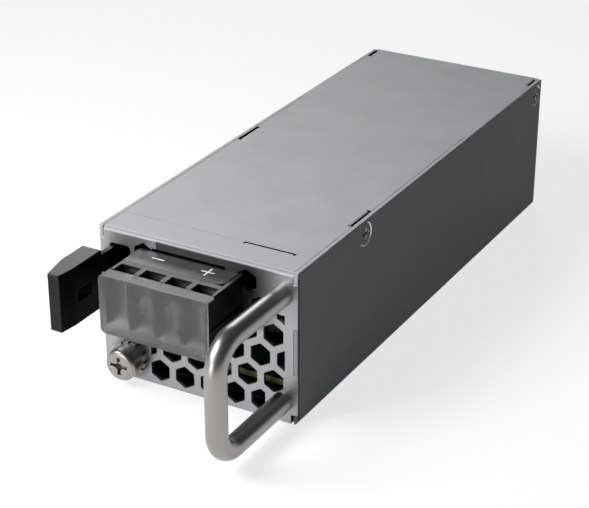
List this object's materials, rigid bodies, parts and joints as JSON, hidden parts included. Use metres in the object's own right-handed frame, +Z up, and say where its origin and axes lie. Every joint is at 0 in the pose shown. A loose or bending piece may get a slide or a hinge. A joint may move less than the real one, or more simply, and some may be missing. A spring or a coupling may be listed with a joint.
{
  "type": "rack power supply",
  "caption": "Slide-in rack power supply: long sheet-metal case, pierced front panel, bent-rod handle, latch lever and covered terminal block.",
  "frame": {"origin": "centre of the case's underside", "axes": "+X to the right as seen from the front, +Y from the front panel to the rear, +Z up"},
  "size_m": [0.0564, 0.1868, 0.04],
  "materials": {
    "case_metal": "satin grey metallic coat on folded sheet",
    "panel_metal": "satin light grey coat",
    "handle_steel": "satin stainless rod",
    "plated_steel": "nickel-plated screws and washers",
    "spring_steel": "bare spring wire",
    "black_plastic": "fine moulded texture",
    "marker_plastic": "smooth satin",
    "frosted_plastic": "frosted, lets light through",
    "tinned_copper": "tin-plated copper",
    "board_green": "solder mask over glass laminate",
    "gold_contact": "hard gold plate",
    "dark_film": "dull insulating film",
    "ferrite": "sintered ferrite, matt",
    "copper_wire": "enamelled copper",
    "yellow_tape": "polyester winding tape",
    "capacitor_sleeve": "shrunk sleeve",
    "film_capacitor": "dipped plastic box",
    "heatsink_aluminium": "extruded, bare",
    "device_epoxy": "moulded epoxy",
    "fuse_ceramic": "glazed ceramic"
  },
  "bodies": {
    "case": {"block_screws": "plated_steel", "board_screws": "plated_steel", "bulk_capacitors": "capacitor_sleeve", "chassis": "case_metal", "control_board": "board_green", "control_chips": "device_epoxy", "control_header": "black_plastic", "cover_screws_left": "case_metal", "cover_screws_right": "case_metal", "edge_contacts": "gold_contact", "filter_capacitors": "film_capacitor", "filter_core": "ferrite", "filter_winding": "copper_wire", "front_panel": "panel_metal", "fuse_caps": "plated_steel", "ground_nut": "plated_steel", "handle": "handle_steel", "handle_screws": "plated_steel", "input_fuse": "fuse_ceramic", "insulating_sheet": "dark_film", "latch_bracket": "case_metal", "latch_pin": "plated_steel", "latch_spring": "spring_steel", "main_board": "board_green", "negative_busbar": "tinned_copper", "output_capacitors": "capacitor_sleeve", "output_choke_core": "ferrite", "output_choke_winding": "copper_wire", "positive_busbar": "tinned_copper", "primary_heatsink": "heatsink_aluminium", "primary_transistors": "device_epoxy", "rear_panel": "case_metal", "rectifiers": "device_epoxy", "secondary_heatsink": "heatsink_aluminium", "standoffs": "plated_steel", "terminal_block": "black_plastic", "terminal_marker": "marker_plastic", "top_cover": "case_metal", "transformer_core": "ferrite", "transformer_winding": "yellow_tape"},
    "latch": {"latch_lever": "black_plastic"},
    "terminal_guard": {"terminal_cover": "frosted_plastic"},
    "negative_clamping": {"negative_clamp": "plated_steel"},
    "negative_screw": {"negative_screw": "plated_steel"},
    "positive_clamping": {"positive_clamp": "plated_steel"},
    "positive_screw": {"positive_screw": "plated_steel"},
    "ground_washers": {"ground_washer": "plated_steel", "ground_lock_washer": "plated_steel"},
    "ground_screw": {"ground_screw": "plated_steel"}
  },
  "joints": [
    {"name": "latch_press", "type": "hinge", "parent": "case", "child": "latch", "pos_m": [-0.0224, -0.0275, 0.0291], "axis": [0, 0, 1], "range_deg": [0, 4.8], "stiffness_Nm_per_rad": 0.2, "springref_deg": -5.73, "deforming": ["latch_spring"]},
    {"name": "cover_slide", "type": "slide", "parent": "case", "child": "terminal_guard", "axis": [0, -1, 0], "range_m": [0, 0.012]},
    {"name": "negative_travel", "type": "slide", "parent": "case", "child": "negative_clamping", "axis": [0, -1, 0], "range_m": [0, 0.001]},
    {"name": "negative_turn", "type": "hinge", "parent": "negative_clamping", "child": "negative_screw", "pos_m": [-0.00476, -0.0845, 0.03], "axis": [0, -1, 0], "range_deg": [0, 720]},
    {"name": "positive_travel", "type": "slide", "parent": "case", "child": "positive_clamping", "axis": [0, -1, 0], "range_m": [0, 0.001]},
    {"name": "positive_turn", "type": "hinge", "parent": "positive_clamping", "child": "positive_screw", "pos_m": [0.00226, -0.0845, 0.03], "axis": [0, -1, 0], "range_deg": [0, 720]},
    {"name": "ground_travel", "type": "slide", "parent": "case", "child": "ground_washers", "axis": [0, -1, 0], "range_m": [0, 0.0028]},
    {"name": "ground_turn", "type": "hinge", "parent": "ground_washers", "child": "ground_screw", "pos_m": [-0.01925, -0.0765, 0.006], "axis": [0, -1, 0], "range_deg": [0, 1440]}
  ],
  "couplings": [
    {"joint": "negative_turn", "follows": "negative_travel", "rad_per_m": 12566},
    {"joint": "positive_turn", "follows": "positive_travel", "rad_per_m": 12566},
    {"joint": "ground_turn", "follows": "ground_travel", "rad_per_m": 8975}
  ]
}
